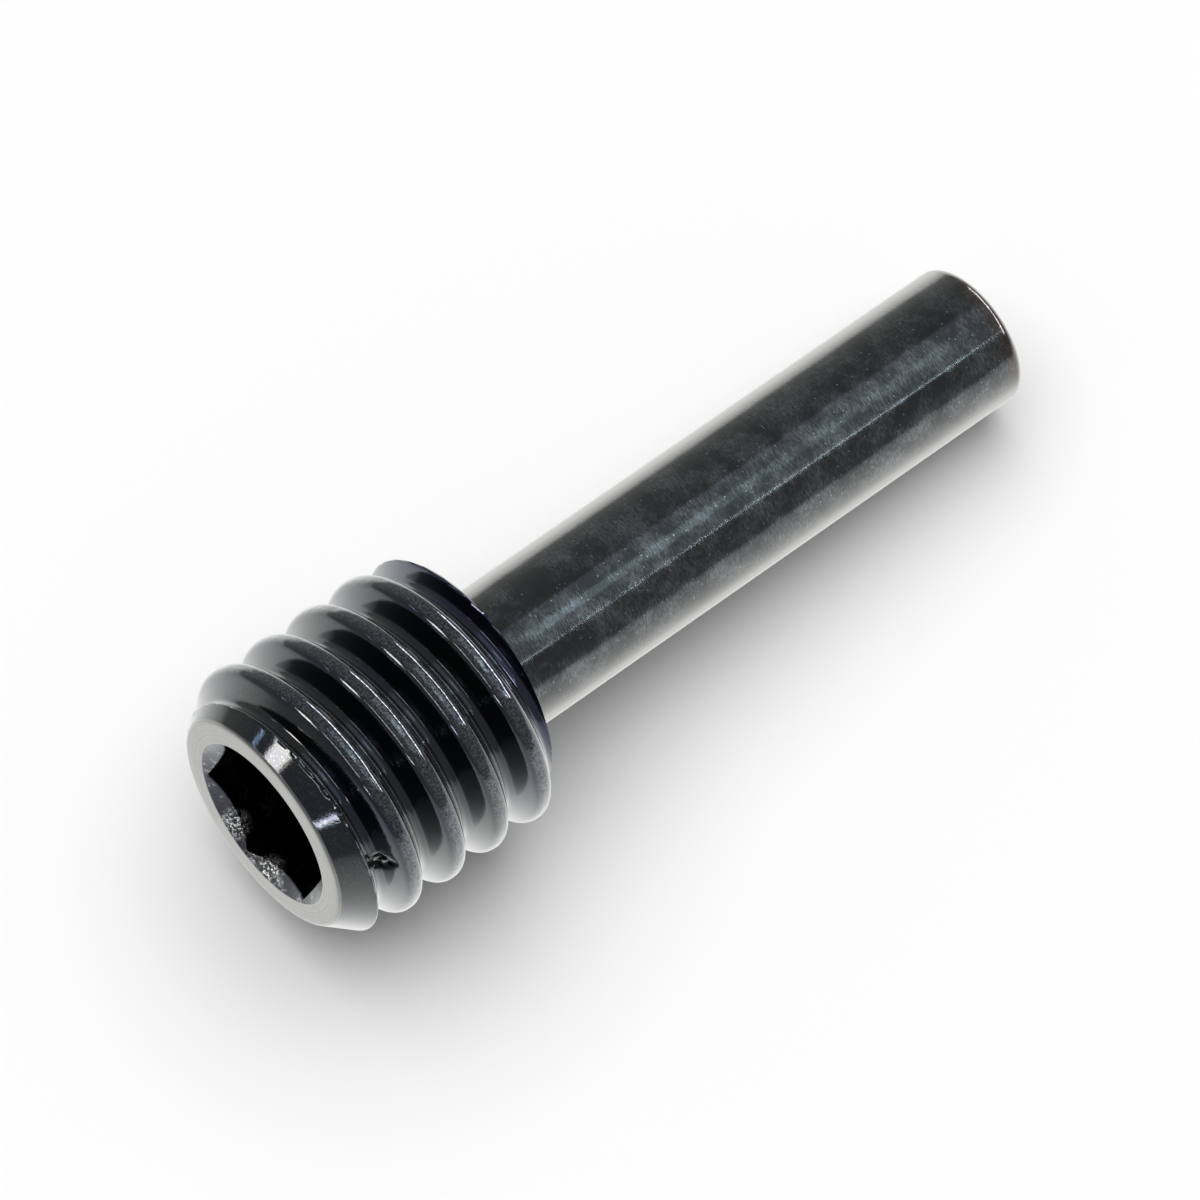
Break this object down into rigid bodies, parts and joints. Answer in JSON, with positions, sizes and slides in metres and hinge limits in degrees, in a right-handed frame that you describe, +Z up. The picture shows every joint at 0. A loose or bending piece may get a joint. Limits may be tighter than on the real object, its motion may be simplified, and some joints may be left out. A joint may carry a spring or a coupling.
{
  "type": "screw pin",
  "caption": "Set-screw head with a machine thread and a hexagon socket, made in one piece with a long plain pin that acts as a pivot or dowel.",
  "frame": {"origin": "on the surface that the screw lies on, under the middle of its length", "axes": "+Z up, +X horizontal from the socket end to the plain pin's tip; the screw's own axis lies in the XZ plane and dips 6.1 degrees towards the tip, as the screw rests on its last thread crest and the lower edge of the tip"},
  "size_m": [0.0122, 0.0038, 0.0041],
  "materials": {
    "black_steel": "black oxide over hardened alloy steel, glossy with a light film of oil; bare grey steel sheen on the turned front ring"
  },
  "bodies": {
    "root": {"screw_pin": "black_steel"}
  },
  "joints": []
}
